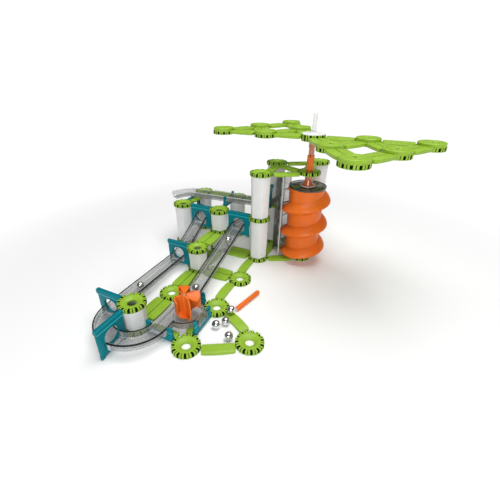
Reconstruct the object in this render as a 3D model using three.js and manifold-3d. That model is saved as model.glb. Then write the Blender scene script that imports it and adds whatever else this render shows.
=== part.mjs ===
// A magnetic construction marble run: green rings and bars make the base and the upper levels,
// white columns hold them apart, clear channels carry steel balls through teal gate plates, and
// a hand-turned orange screw lifts the balls up a tower. Millimetres, +Z up, standing on z = 0.
import * as THREE from 'three';
import { mergeVertices } from 'three/addons/utils/BufferGeometryUtils.js';
import Module from 'manifold-3d';

const wasm = await Module();
wasm.setup();

// ---- Driving dimensions ----
const pitch = 86; // centre distance of neighbouring rings
const rise = 42.6; // height of one storey; tall columns take two
const clearance = 0.3; // gap between neighbouring pieces
const roundSides = 18; // facets of rings, columns and discs
const ballRadius = 6.35;

const ringRadius = 20;
const ringBoreRadius = 6.5;
const ringThickness = 6;
const barWidth = 15.5;
const barTaper = 1.3; // how much each outer edge draws in towards the bar's ends
const barReach = 5; // how far a bar runs into a ring of its own frame
const barThickness = 4.6;
const barPairGap = 1; // slit between two bars lying side by side

const columnTopRadius = 18.2;
const columnFootRadius = 17.2; // over the corners of the six-sided foot
const columnSides = 24;
const columnTopFlatness = 0.3; // 0 is a round head, 1 a plain hexagon like the foot
const columnWall = 1.8;

const plateThickness = 2.4;
const plateOverlap = 0.8; // how far a plate reaches past the rings of its storey
const plateHoleRadius = 12;
const plateHoleHeight = 25.4; // hole centre above the plate's lower edge
const flangeDepth = 6;
const flangeHeight = 7;
const saddleHeight = 24.4;
const saddleRib = 3; // height of the saddle's thick rib
const saddleFloor = 9.4; // bottom of the notch above the saddle's lower edge

const railWidth = 23.6; // outside width of a channel
const railWall = 1.8;
const railFloor = 2;
const railDepth = 11; // outside height of a channel
const railLip = 1.2; // outward lip along both upper edges

const screwCoreRadius = 31;
const screwFlightRadius = 43.8;
const screwLead = 46; // rise of the flight in one turn
const screwBottom = 9;
const screwHeadroom = 24.4; // from the screw's top to the tower's top rings
const flightShare = 0.55; // part of the lead that the rounded flight takes up
const flightStart = 23.5; // height of the flight's middle above the screw's foot, facing +X
const endTaper = 8; // length over which the flight dies away at each end
const shaftRadius = 3.6;
const sleeveRadius = 6.4;
const sleeveLength = 26;
const capRadius = 33;
const capThickness = 3;
const neckRadius = 6;
const rotorRimThickness = 6.5; // the notched lower rim of a rotor disc
const rotorCapRadius = 19; // the plain cap on top of it
const rotorLift = 57.6; // from the tower's top rings up to the rotor discs
const rotorDiscThickness = 11.5;
const rotorAngle = -1.3; // resting angle of the rotor, degrees
const shaftStickOut = 43; // shaft above the underside of the rotor discs
const shaftBoreRadius = 8; // hole of the ring that carries the shaft
const guideGap = 1.5; // radial gap from the flight to the ball guide
const guideDepth = 9;
const guideFoot = 8;
const guideHeadroom = 4.4; // from the guide's top to the tower's top rings
const chuteFall = 12;

const wheelRadius = 24;
const wheelHeight = 37;
const wheelHubRadius = 4.5;
const wheelPinRadius = 2;
const wheelAngle = -38; // resting angle of the first blade, degrees
const bladeThickness = 2.4;
const bladeCount = 4;
const wandRadius = 3.8;
const wandLength = 58;
const wandAngle = 75.5;

// ---- Places worked out from the driving dimensions ----
const tall = 2 * rise;
const towerTop = 4 * rise;
const screwTop = towerTop - screwHeadroom;
const screwLength = screwTop - screwBottom;
const rotorHeight = towerTop + rotorLift;
const shaftTop = rotorHeight + shaftStickOut;
const guideHead = towerTop - guideHeadroom;
const columnGap = ringThickness + clearance;
const plateHeight = rise + ringThickness + plateOverlap;
const rowDepth = pitch * Math.sqrt(3) / 2;
const shaftX = rowDepth;
const shaftY = 3.5 * pitch;
const plateWidth = pitch - 2 * (ringRadius + clearance);
const guideInnerRadius = screwFlightRadius + guideGap;

const at = (across, along) => new THREE.Vector2(across * pitch, along * pitch);
const spots = {
  frontCorner: at(0, 0),
  frontRight: at(Math.sqrt(3) / 2, 0.5),
  rightFront: at(0, 1),
  rightMiddle: at(0, 2),
  frontColumn: at(-1, 0),
  spineMiddle: at(-1, 1),
  leftMiddle: at(-1, 2),
  centre: at(-1, 3),
  rearInner: at(-1, 4),
  leftRear: at(-2, 3),
  rearCorner: at(-2, 4),
  towerFront: at(0, 3),
  towerBack: at(0, 4),
  towerSide: at(Math.sqrt(3) / 2, 4.5),
  shaft: new THREE.Vector2(shaftX, shaftY),
};

// ---- Materials ----
const finish = (color, roughness, metalness = 0) => (
  new THREE.MeshStandardMaterial({ color, roughness, metalness })
);
const green = finish(0x8cc63f, 0.4);
const white = finish(0xf2f2f0, 0.35);
const teal = finish(0x0d858c, 0.4);
const orange = finish(0xe8702a, 0.38);
const clear = finish(0xc9ced2, 0.12);
clear.transparent = true;
clear.opacity = 0.5;
const smoke = finish(0x4c5052, 0.15);
const steel = finish(0xd8dadc, 0.08, 1);

// ---- Solid helpers ----
function toSolid(geometry) {
  const bare = geometry.clone();
  bare.deleteAttribute('normal');
  bare.deleteAttribute('uv');
  const merged = mergeVertices(bare, 1e-3);
  return new wasm.Manifold(new wasm.Mesh({
    numProp: 3,
    vertProperties: new Float32Array(merged.attributes.position.array),
    triVerts: new Uint32Array(merged.index.array),
  }));
}

function toGeometry(solid) {
  const mesh = solid.getMesh();
  const geometry = new THREE.BufferGeometry();
  geometry.setAttribute('position', new THREE.BufferAttribute(mesh.vertProperties, 3));
  geometry.setIndex(new THREE.BufferAttribute(mesh.triVerts, 1));
  return geometry;
}

function join(geometries) {
  return toGeometry(geometries.map(toSolid).reduce((whole, next) => whole.add(next)));
}

function cut(geometry, tools) {
  return toGeometry(tools.map(toSolid).reduce((rest, tool) => rest.subtract(tool), toSolid(geometry)));
}

function box(sizeX, sizeY, sizeZ, x, y, z) {
  return new THREE.BoxGeometry(sizeX, sizeY, sizeZ).translate(x, y, z);
}

// A cylinder along Z from bottom to top.
function rod(radius, bottom, top, sides = 20) {
  const geometry = new THREE.CylinderGeometry(radius, radius, top - bottom, sides);
  return geometry.rotateX(Math.PI / 2).translate(0, 0, (top + bottom) / 2);
}

// A closed profile of [radius, height] corners, listed anticlockwise, turned about Z.
function turned(profile, sides) {
  const points = [...profile, profile[0]].map(([radius, height]) => new THREE.Vector2(radius, height));
  return new THREE.LatheGeometry(points, sides).rotateX(Math.PI / 2);
}

const group = new THREE.Group();
function add(name, geometry, material, position = [0, 0, 0], angle = 0) {
  const mesh = new THREE.Mesh(geometry, material);
  mesh.name = name;
  mesh.position.set(...position);
  mesh.rotation.z = angle;
  group.add(mesh);
  return mesh;
}

// ---- Rings and bars ----
function ring(spot, height, bore = ringBoreRadius) {
  const profile = [[bore, 0], [ringRadius, 0], [ringRadius, ringThickness], [bore, ringThickness]];
  return turned(profile, roundSides).translate(spot.x, spot.y, height);
}

// Where a bar lies across the line between two rings: [lower edge, upper edge] of its width.
const pairEdge = barPairGap / 2;
const besidePlate = flangeDepth / 2 + clearance;
const outerEdge = pairEdge + barWidth;
const lanes = {
  left: [pairEdge, outerEdge],
  right: [-outerEdge, -pairEdge],
  leftOfPlate: [besidePlate, outerEdge],
  rightOfPlate: [-outerEdge, -besidePlate],
};

// One bar from ring to ring, barrel-shaped along its outer edges. meets says whether each end
// joins a ring of the same frame or stops short of another frame's ring.
function bar(start, end, height, lane, meets = [true, true]) {
  const reach = meets.map((joined) => (joined ? ringRadius - barReach : ringRadius + clearance));
  const from = reach[0];
  const to = start.distanceTo(end) - reach[1];
  const middle = (from + to) / 2;
  const [low, high] = lanes[lane];
  const taper = (edge) => (Math.abs(edge) < barWidth / 2 ? 0 : Math.sign(edge) * barTaper);
  const shape = new THREE.Shape();
  shape.moveTo(from, low - taper(low));
  shape.quadraticCurveTo(middle, low + taper(low), to, low - taper(low));
  shape.lineTo(to, high - taper(high));
  shape.quadraticCurveTo(middle, high + taper(high), from, high - taper(high));
  shape.closePath();
  const geometry = new THREE.ExtrudeGeometry(shape, {
    depth: barThickness,
    bevelEnabled: false,
    curveSegments: 3,
  });
  const direction = Math.atan2(end.y - start.y, end.x - start.x);
  return geometry.rotateZ(direction).translate(start.x, start.y, height);
}

function pair(start, end, height, meets) {
  return ['left', 'right'].map((lane) => bar(start, end, height, lane, meets));
}

const s = spots;
const outward = [true, false];

add('base_front_triangle', join([
  ring(s.frontCorner, 0),
  ring(s.frontRight, 0),
  ring(s.rightFront, 0),
  bar(s.frontCorner, s.frontRight, 0, 'right'),
  bar(s.frontRight, s.rightFront, 0, 'right'),
  bar(s.frontCorner, s.rightFront, 0, 'leftOfPlate'),
  bar(s.frontCorner, s.frontColumn, 0, 'rightOfPlate', outward),
]), green);

add('base_link_frame', join([
  ring(s.rightMiddle, 0),
  bar(s.rightMiddle, s.rightFront, 0, 'right', outward),
  bar(s.rightMiddle, s.towerFront, 0, 'left', outward),
  ...pair(s.rightMiddle, s.leftMiddle, 0, outward),
]), green);

add('base_spine_frame', join([
  ring(s.frontColumn, 0),
  ring(s.spineMiddle, 0),
  ring(s.leftMiddle, 0),
  ring(s.centre, 0),
  ...pair(s.frontColumn, s.spineMiddle, 0),
  ...pair(s.spineMiddle, s.leftMiddle, 0),
  ...pair(s.leftMiddle, s.centre, 0),
  ...pair(s.centre, s.towerFront, 0, outward),
]), green);

const towerRings = [s.towerFront, s.towerBack, s.towerSide, s.shaft];
const towerLinks = [
  [s.towerFront, s.towerBack],
  [s.towerBack, s.towerSide],
  [s.towerFront, s.shaft],
  [s.towerBack, s.shaft],
  [s.towerSide, s.shaft],
];
add('tower_base_frame', join([
  ...towerRings.map((spot) => ring(spot, 0)),
  ...towerLinks.map(([start, end]) => bar(start, end, 0, 'right')),
]), green);

add('tower_top_frame', join([
  ...towerRings.slice(0, 3).map((spot) => ring(spot, towerTop)),
  ring(s.shaft, towerTop, shaftBoreRadius),
  ...towerLinks.map(([start, end]) => bar(start, end, towerTop, 'right')),
]), green);

add('low_level_frame', join([
  ring(s.leftMiddle, rise),
  ring(s.centre, rise),
  ...pair(s.leftMiddle, s.centre, rise),
]), green);

add('rear_level_frame', join([
  ring(s.leftRear, tall),
  ring(s.rearCorner, tall),
  ring(s.rearInner, tall),
  ring(s.towerBack, tall),
  bar(s.leftRear, s.rearCorner, tall, 'rightOfPlate'),
  ...pair(s.rearCorner, s.rearInner, tall),
  ...pair(s.rearInner, s.towerBack, tall),
]), green);

add('front_column_ring', ring(s.frontColumn, rise), green);
add('centre_column_ring', ring(s.centre, tall), green);
add('tower_front_ring', ring(s.towerFront, tall), green);
add('tower_side_ring', ring(s.towerSide, tall), green);

// ---- Columns ----
// Draws the faces of a turned piece in towards a hexagon with a corner facing +X.
function sixSided(geometry, flatnessAt) {
  const points = geometry.attributes.position;
  const corner = Math.PI / 3;
  for (let i = 0; i < points.count; i += 1) {
    const [x, y, z] = [points.getX(i), points.getY(i), points.getZ(i)];
    const fromCorner = THREE.MathUtils.euclideanModulo(Math.atan2(y, x), corner);
    const flat = Math.cos(corner / 2) / Math.cos(fromCorner - corner / 2);
    const scale = THREE.MathUtils.lerp(1, flat, flatnessAt(z));
    points.setXYZ(i, x * scale, y * scale, z);
  }
  return geometry;
}

// A hollow tapered column standing on a ring at height bottom, under a ring at height top.
function column(spot, bottom, top) {
  const foot = bottom + columnGap;
  const head = top - clearance;
  const profile = [
    [columnFootRadius - columnWall, foot],
    [columnFootRadius, foot],
    [columnTopRadius, head],
    [columnTopRadius - columnWall, head],
  ];
  const flatness = (z) => THREE.MathUtils.mapLinear(z, foot, head, 1, columnTopFlatness);
  return sixSided(turned(profile, columnSides), flatness).translate(spot.x, spot.y, 0);
}

// A rear column in one with the foot ring that it stands on.
function footedColumn(spot) {
  return join([column(spot, 0, tall), collar(spot), ring(spot, 0)]);
}

// The short spigot that ties a footed column to its ring.
function collar(spot) {
  const inner = columnFootRadius - columnWall;
  const profile = [
    [inner, ringThickness - 1],
    [columnFootRadius, ringThickness - 1],
    [columnFootRadius, columnGap + 1],
    [inner, columnGap + 1],
  ];
  return sixSided(turned(profile, columnSides), () => 1).translate(spot.x, spot.y, 0);
}

add('front_column', column(s.frontColumn, 0, rise), white);
add('left_middle_column', column(s.leftMiddle, 0, rise), white);
add('centre_lower_column', column(s.centre, 0, rise), white);
add('centre_upper_column', column(s.centre, rise, tall), white);
add('left_rear_column', footedColumn(s.leftRear), white);
add('rear_corner_column', footedColumn(s.rearCorner), white);
add('rear_inner_column', footedColumn(s.rearInner), white);
for (const [name, spot] of [['front', s.towerFront], ['back', s.towerBack], ['side', s.towerSide]]) {
  add(`tower_${name}_lower_column`, column(spot, 0, tall), white);
  add(`tower_${name}_upper_column`, column(spot, tall, towerTop), white);
}

// ---- Gate plates and saddles ----
// A tall plate with a round hole for the ball and a thick flange along its upper edge.
function gatePlate() {
  const panel = box(plateWidth, plateThickness, plateHeight, 0, 0, plateHeight / 2);
  const flange = box(plateWidth, flangeDepth, flangeHeight, 0, 0, plateHeight - flangeHeight / 2);
  const hole = rod(plateHoleRadius, -flangeDepth, flangeDepth, 24).rotateX(Math.PI / 2);
  return cut(join([panel, flange]), [hole.translate(0, 0, plateHoleHeight)]);
}

// A low plate whose notch holds a channel.
function saddlePlate() {
  const panel = box(plateWidth, plateThickness, saddleHeight, 0, 0, saddleHeight / 2);
  const rib = box(plateWidth, flangeDepth, saddleRib, 0, 0, ringThickness + saddleRib / 2);
  const notchWidth = railWidth + 2 * (railLip + clearance);
  const notchHeight = saddleHeight - saddleFloor + 1;
  const notch = box(notchWidth, 2 * flangeDepth, notchHeight, 0, 0, saddleFloor + notchHeight / 2);
  return cut(join([panel, rib]), [notch]);
}

// Places a plate halfway between two rings, standing across the line that joins them.
function addPlate(name, geometry, start, end, height) {
  const middle = start.clone().add(end).multiplyScalar(0.5);
  const angle = Math.atan2(end.y - start.y, end.x - start.x);
  add(name, geometry, teal, [middle.x, middle.y, height], angle);
}

const offsetSpot = (spot, across, along) => spot.clone().add(at(across, along));
const plateFoot = clearance;
addPlate('left_front_plate', gatePlate(), s.frontColumn, offsetSpot(s.frontColumn, -1, 0), plateFoot);
addPlate('front_plate', gatePlate(), s.frontColumn, offsetSpot(s.frontColumn, 0, -1), plateFoot);
addPlate('left_middle_plate', gatePlate(), s.leftMiddle, offsetSpot(s.leftMiddle, -1, 0), plateFoot);
addPlate('left_rear_plate', gatePlate(), s.leftRear, s.centre, rise + plateFoot);
addPlate('right_rear_plate', gatePlate(), s.centre, s.towerFront, rise + plateFoot);
addPlate('rear_side_plate', gatePlate(), s.leftRear, s.rearCorner, rise + plateFoot);
addPlate('tower_exit_plate', gatePlate(), s.towerFront, s.towerBack, tall + plateFoot);
addPlate('upper_lane_saddle', saddlePlate(), s.centre, s.rearInner, tall + plateFoot);
addPlate('junction_left_saddle', saddlePlate(), s.frontColumn, s.frontCorner, plateFoot);
addPlate('junction_right_saddle', saddlePlate(), s.frontCorner, s.rightFront, plateFoot);
addPlate('junction_back_saddle', saddlePlate(), s.spineMiddle, s.rightFront, plateFoot);

// ---- Channels ----
// The U-shaped section of a channel, its underside at height 0.
function channelSection() {
  const outer = railWidth / 2;
  const inner = outer - railWall;
  const lip = outer + railLip;
  const half = [
    [outer, 0],
    [outer, railDepth - railWall],
    [lip, railDepth - railWall],
    [lip, railDepth],
    [inner, railDepth],
    [inner, railFloor],
  ];
  const mirrored = half.map(([x, y]) => [-x, y]).reverse();
  return new THREE.Shape([...half, ...mirrored].map(([x, y]) => new THREE.Vector2(x, y)));
}

// A channel laid along a route; its section stays upright and its ends are square to the route.
function channel(route, steps) {
  const geometry = new THREE.ExtrudeGeometry(channelSection(), { depth: 1, steps, bevelEnabled: false });
  const points = geometry.attributes.position;
  const vertex = new THREE.Vector3();
  for (let i = 0; i < points.count; i += 1) {
    vertex.fromBufferAttribute(points, i);
    const along = route.getPoint(vertex.z);
    const heading = route.getTangent(vertex.z).setZ(0).normalize();
    points.setXYZ(
      i,
      along.x - heading.y * vertex.x,
      along.y + heading.x * vertex.x,
      along.z + vertex.y,
    );
  }
  return geometry;
}

function straight(start, end) {
  return channel(new THREE.LineCurve3(start, end), 1);
}

// A quarter bend, or part of one, around a ring's centre; angles in degrees.
class BendCurve extends THREE.Curve {
  constructor(centre, startAngle, endAngle, startHeight, endHeight) {
    super();
    Object.assign(this, { centre, startAngle, endAngle, startHeight, endHeight });
  }

  getPoint(share, target = new THREE.Vector3()) {
    const angle = THREE.MathUtils.degToRad(THREE.MathUtils.lerp(this.startAngle, this.endAngle, share));
    return target.set(
      this.centre.x + (pitch / 2) * Math.cos(angle),
      this.centre.y + (pitch / 2) * Math.sin(angle),
      THREE.MathUtils.lerp(this.startHeight, this.endHeight, share),
    );
  }
}

function bend(centre, startAngle, endAngle, startHeight, endHeight) {
  const steps = Math.max(4, Math.round(Math.abs(endAngle - startAngle) / 10));
  return channel(new BendCurve(centre, startAngle, endAngle, startHeight, endHeight), steps);
}

// Undersides of the channels where they meet plates and saddles.
const gateRail = plateFoot + plateHoleHeight - plateHoleRadius - railFloor + 0.5;
const saddleRail = plateFoot + saddleFloor + clearance;
const laneStart = rise + gateRail + 2;
const plateGap = plateThickness / 2 + clearance;
const bendInnerRadius = pitch / 2 - railWidth / 2 - railLip;
const plateAngle = THREE.MathUtils.radToDeg(Math.asin(plateGap / bendInnerRadius));
const leftLane = -1.5 * pitch;
const rightLane = -0.5 * pitch;
const upperLane = 3.5 * pitch;
const v3 = (x, y, z) => new THREE.Vector3(x, y, z);

const upperSaddleRail = tall + saddleRail;
const upperDrop = 1.8; // fall of the upper lane over one pitch
add('upper_lane_rail', straight(
  v3(-plateGap, upperLane, upperSaddleRail + upperDrop),
  v3(-2 * pitch + clearance / 2, upperLane, upperSaddleRail - upperDrop),
), clear);
const endBendAngle = 60;
const endBendStart = 90 + THREE.MathUtils.radToDeg(clearance / bendInnerRadius);
add('end_bend_rail', bend(
  s.leftRear,
  endBendStart,
  90 + endBendAngle,
  upperSaddleRail - upperDrop,
  tall + 3,
), clear);
add('return_bend_rail', bend(s.leftRear, 90 - plateAngle, plateAngle, laneStart + 1, laneStart), clear);
add('tower_bend_rail', bend(s.towerFront, 90, 180 - plateAngle, laneStart + 1, laneStart), clear);
add('left_lane_upper_rail', straight(
  v3(leftLane, 3 * pitch - plateGap, laneStart),
  v3(leftLane, 2 * pitch + plateGap, gateRail),
), clear);
add('left_lane_lower_rail', straight(
  v3(leftLane, 2 * pitch - plateGap, gateRail),
  v3(leftLane, plateGap, gateRail - 0.4),
), clear);
add('front_left_bend_rail', bend(
  s.frontColumn,
  180 + plateAngle,
  270 - plateAngle,
  gateRail - 0.4,
  gateRail - 1,
), clear);
add('front_right_bend_rail', bend(s.frontColumn, 270 + plateAngle, 360, gateRail - 1, saddleRail), clear);
add('right_lane_rail', straight(
  v3(rightLane, 3 * pitch - plateGap, laneStart + 1.5),
  v3(rightLane, pitch + clearance / 2, saddleRail),
), clear);

// ---- Junction tray and paddle wheel ----
// The right lane runs straight on to the front bend, or off to the right past the paddle wheel,
// which stands on a pin in a round basin.
const trayExit = 6; // how far the right-hand exit reaches past its saddle
const basinRadius = wheelRadius + 4 * clearance;
const wheelX = -(plateGap + basinRadius + railWall);
const wheelY = 0.5 * pitch;
const trayFloor = saddleRail + railFloor;
const wheelFoot = trayFloor + 2 * clearance;

// The tray's plan, filled from bottom to top; wall is added all round it.
function trayFill(bottom, top, wall, overrun) {
  const half = railWidth / 2 - railWall + wall;
  const middle = (bottom + top) / 2;
  const laneLength = pitch - clearance + 2 * overrun;
  const exitLength = trayExit - wheelX + overrun;
  return [
    box(2 * half, laneLength, top - bottom, rightLane, pitch / 2, middle),
    box(exitLength, 2 * half, top - bottom, wheelX + exitLength / 2, wheelY, middle),
    rod(basinRadius + wall, bottom, top, 32).translate(wheelX, wheelY, 0),
  ];
}

const trayTop = saddleRail + railDepth;
const tray = cut(
  join(trayFill(saddleRail, trayTop, railWall, 0)),
  [join(trayFill(trayFloor, trayTop + 1, 0, 1))],
);
const pin = rod(wheelPinRadius, trayFloor - 1, wheelFoot + wheelHeight - 1, 12);
add('junction_tray', join([tray, pin.translate(wheelX, wheelY, 0)]), clear);

// One curved blade, from the hub to the wheel's rim.
function blade(angle) {
  const shape = new THREE.Shape();
  const root = wheelHubRadius - 1;
  const bow = wheelRadius / 4;
  const half = bladeThickness / 2;
  const middle = (root + wheelRadius) / 2;
  const tip = wheelRadius - half;
  shape.moveTo(root, -half);
  shape.quadraticCurveTo(middle, bow - half, tip, -half);
  shape.lineTo(tip, half);
  shape.quadraticCurveTo(middle, bow + half, root, half);
  shape.closePath();
  return new THREE.ExtrudeGeometry(shape, {
    depth: wheelHeight,
    bevelEnabled: false,
    curveSegments: 6,
  }).rotateZ(THREE.MathUtils.degToRad(angle));
}

const hub = turned([
  [wheelPinRadius + clearance, 0],
  [wheelHubRadius, 0],
  [wheelHubRadius, wheelHeight],
  [wheelPinRadius + clearance, wheelHeight],
], 16);
const bladeAngles = Array.from({ length: bladeCount }, (_, i) => wheelAngle + (360 * i) / bladeCount);
const wheelBore = rod(wheelPinRadius + clearance, -1, wheelHeight + 1, 16);
add('paddle_wheel', cut(join([hub, ...bladeAngles.map(blade)]), [wheelBore]), orange, [
  wheelX,
  wheelY,
  wheelFoot,
]);

// ---- Lift screw, shaft and rotor ----
// The screw is a cylinder whose side swells into a rounded flight that winds round it.
function screwBody() {
  const geometry = new THREE.CylinderGeometry(1, 1, screwLength, 26, 34).rotateX(Math.PI / 2);
  const points = geometry.attributes.position;
  const flightWidth = flightShare * screwLead;
  for (let i = 0; i < points.count; i += 1) {
    const angle = Math.atan2(points.getY(i), points.getX(i));
    const height = points.getZ(i) + screwLength / 2;
    const turn = (height - flightStart) / screwLead - angle / (2 * Math.PI);
    const away = Math.abs(turn - Math.round(turn)) * screwLead;
    const swell = away < flightWidth / 2 ? Math.cos((Math.PI * away) / flightWidth) : 0;
    const ends = Math.min(1, height / endTaper, (screwLength - height) / endTaper);
    const side = screwCoreRadius + (screwFlightRadius - screwCoreRadius) * swell * ends;
    const radius = Math.hypot(points.getX(i), points.getY(i)) * side;
    points.setXYZ(i, radius * Math.cos(angle), radius * Math.sin(angle), height);
  }
  return geometry;
}

const onShaft = [shaftX, shaftY, 0];
const shaftBore = shaftRadius + clearance;
const boreTool = rod(shaftBore, -1, shaftTop + 1, 16);
const screw = screwBody().translate(0, 0, screwBottom);
add('lift_screw', cut(screw, [boreTool]), orange, onShaft);

// The smoky cap closes the screw; its neck runs up through the bearing ring.
const neckTop = towerTop + ringThickness + 1;
add('screw_cap', turned([
  [shaftBore, screwTop + clearance],
  [capRadius, screwTop + clearance],
  [capRadius, screwTop + capThickness],
  [neckRadius + 6, screwTop + capThickness],
  [neckRadius, towerTop - 2 * clearance],
  [neckRadius, neckTop],
  [shaftBore, neckTop],
], 32), smoke, onShaft);

// The orange sleeve grips the shaft between the cap's neck and the rotor.
const sleeve = rod(sleeveRadius, neckTop + clearance, neckTop + clearance + sleeveLength, 6);
add('shaft_sleeve', cut(sleeve, [boreTool]), orange, onShaft);

add('drive_shaft', rod(shaftRadius, 1, shaftTop, 16), clear, onShaft);

// The rotor: a hub disc on the shaft and two opposite triangular arms of discs and bars.
function disc(spot, bore = 0) {
  const step = rotorHeight + rotorRimThickness;
  const top = rotorHeight + rotorDiscThickness;
  const solid = join([
    rod(ringRadius, rotorHeight, step, roundSides),
    rod(rotorCapRadius, step - 1, top, roundSides),
  ]);
  const placed = solid.translate(spot.x, spot.y, 0);
  return bore > 0 ? cut(placed, [rod(bore, 0, shaftTop, 16)]) : placed;
}

function rotorArm(turn) {
  const spoke = (length, angle) => {
    const radians = THREE.MathUtils.degToRad(angle + turn);
    return new THREE.Vector2(length * Math.cos(radians), length * Math.sin(radians));
  };
  const middle = new THREE.Vector2(0, 0);
  const nearA = spoke(pitch, 0);
  const farA = spoke(2 * pitch, 0);
  const nearB = spoke(pitch, -60);
  const farB = spoke(2 * pitch, -60);
  const joint = nearA.clone().add(nearB);
  const links = [
    [middle, nearA],
    [nearA, farA],
    [middle, nearB],
    [nearB, farB],
    [nearA, nearB],
    [nearA, joint],
    [joint, farA],
    [joint, farB],
  ];
  const barHeight = rotorHeight + (rotorDiscThickness - ringThickness) / 2;
  return [
    ...[nearA, farA, nearB, farB, joint].map((spot) => disc(spot)),
    ...links.flatMap(([start, end]) => pair(start, end, barHeight)),
  ];
}

add('rotor', join([
  disc(new THREE.Vector2(0, 0), shaftBore),
  ...rotorArm(0),
  ...rotorArm(180),
]), green, onShaft, THREE.MathUtils.degToRad(rotorAngle));

// ---- Ball guide ----
// An upright channel beside the screw. Balls ride up inside it and leave by a window in its
// back, down a short chute into the upper lane; a lower window feeds the tower bend.
const guideBack = guideInnerRadius + guideDepth;
const guideHalf = ballRadius + 1.2;
const guideMiddle = (guideFoot + guideHead) / 2;
const guideLength = guideHead - guideFoot;
const windowHeight = 2 * ballRadius + 3;
const chuteStart = upperSaddleRail + upperDrop + chuteFall;
const guideX = shaftX - (guideInnerRadius + guideBack + railWall) / 2;
const guideShell = box(
  guideDepth + railWall,
  2 * (guideHalf + railWall),
  guideLength,
  guideX,
  shaftY,
  guideMiddle,
);
const guideWell = box(
  guideDepth + 1,
  2 * guideHalf,
  guideLength + 2,
  guideX + (railWall + 1) / 2,
  shaftY,
  guideMiddle,
);
const guideWindow = (height) => box(
  4 * railWall,
  2 * guideHalf,
  windowHeight,
  shaftX - guideBack - railWall / 2,
  shaftY,
  height + railFloor + windowHeight / 2,
);
const chute = straight(
  v3(shaftX - guideBack - railWall / 2, shaftY, chuteStart),
  v3(plateGap + flangeDepth / 2, shaftY, upperSaddleRail + upperDrop + 1),
);
add('ball_guide', cut(join([guideShell, chute]), [
  guideWell,
  guideWindow(chuteStart),
  guideWindow(laneStart + 1),
]), clear);

// ---- Magnet wand and balls ----
const ball = () => new THREE.IcosahedronGeometry(ballRadius, 2);
// The wand's ball touches down beside the ring at the front right of the lanes.
const wandBallReach = ringRadius + ballRadius + clearance;
const wandBall = s.rightFront.clone().add(new THREE.Vector2(wandBallReach, -ballRadius / 2));
const wandTip = wandBall.clone().add(new THREE.Vector2(ballRadius / 2, 1.8 * ballRadius));
const wandHeading = THREE.MathUtils.degToRad(wandAngle);
const wand = rod(wandRadius, 0, wandLength, 16).rotateY(Math.PI / 2);
add('magnet_wand', wand, orange, [wandTip.x, wandTip.y, wandRadius], wandHeading);
// The ball at the wand's tip rests on the bar beside it.
const onBar = barThickness + clearance + ballRadius;
add('wand_ball', ball(), steel, [wandBall.x, wandBall.y, onBar]);

const rightBallReach = ringRadius + 1.5 * ballRadius;
const rightBall = s.frontRight.clone().sub(new THREE.Vector2(rightBallReach, 0.8 * ballRadius));
const floorBalls = [at(0.216, 0.579), at(0.326, 0.72), rightBall];
floorBalls.forEach((spot, index) => {
  add(`floor_ball_${index + 1}`, ball(), steel, [spot.x, spot.y, ballRadius]);
});

// Height of a ball's centre in a channel whose underside is at the given height.
const onRail = (underside, slope = 0) => (
  underside + railFloor + clearance + ballRadius * Math.hypot(1, slope)
);
const rightLaneEnd = pitch + clearance / 2;
const rightLaneSlope = (laneStart + 1.5 - saddleRail) / (3 * pitch - plateGap - rightLaneEnd);
const rightLaneRail = (y) => saddleRail + (y - rightLaneEnd) * rightLaneSlope;
const leftBallY = 0.71 * pitch;
add('left_lane_ball', ball(), steel, [leftLane, leftBallY, onRail(gateRail)]);
[2.46, 1.105].forEach((share, index) => {
  const y = share * pitch;
  const height = onRail(rightLaneRail(y), rightLaneSlope);
  add(`right_lane_ball_${index + 1}`, ball(), steel, [rightLane, y, height]);
});

// The model stands on z = 0 with its origin under the middle of its overall box.
const bounds = new THREE.Box3().setFromObject(group);
const centre = bounds.getCenter(new THREE.Vector3());
group.position.set(-centre.x, -centre.y, 0);

export default group;
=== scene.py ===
"""Marble run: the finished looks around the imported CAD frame. Metres, +Z up."""

import math

import bmesh
import bpy
from mathutils import Matrix, Vector


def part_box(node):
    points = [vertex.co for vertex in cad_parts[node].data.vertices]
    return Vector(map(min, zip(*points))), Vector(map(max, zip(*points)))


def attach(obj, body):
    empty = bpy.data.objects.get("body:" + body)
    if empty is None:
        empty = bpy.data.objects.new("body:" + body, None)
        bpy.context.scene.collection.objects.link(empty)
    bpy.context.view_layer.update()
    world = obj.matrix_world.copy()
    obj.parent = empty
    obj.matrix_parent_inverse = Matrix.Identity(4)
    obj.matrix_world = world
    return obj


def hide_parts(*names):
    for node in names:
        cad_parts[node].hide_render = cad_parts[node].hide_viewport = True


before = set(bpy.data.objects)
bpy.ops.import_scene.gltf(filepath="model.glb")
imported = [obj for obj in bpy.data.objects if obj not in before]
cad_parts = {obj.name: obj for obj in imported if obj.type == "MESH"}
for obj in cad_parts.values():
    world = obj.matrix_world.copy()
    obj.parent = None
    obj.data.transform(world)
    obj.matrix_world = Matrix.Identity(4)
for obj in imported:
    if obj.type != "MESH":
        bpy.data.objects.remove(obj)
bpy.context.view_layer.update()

# ---- Driving sizes, as in the CAD part ----
MM = 0.001
WELD = 1e-6
SHARP = math.radians(32)
# A corner that turns by less than this many radians stays as it is when an outline is rounded.
SHARP_TURN = 0.5
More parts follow.
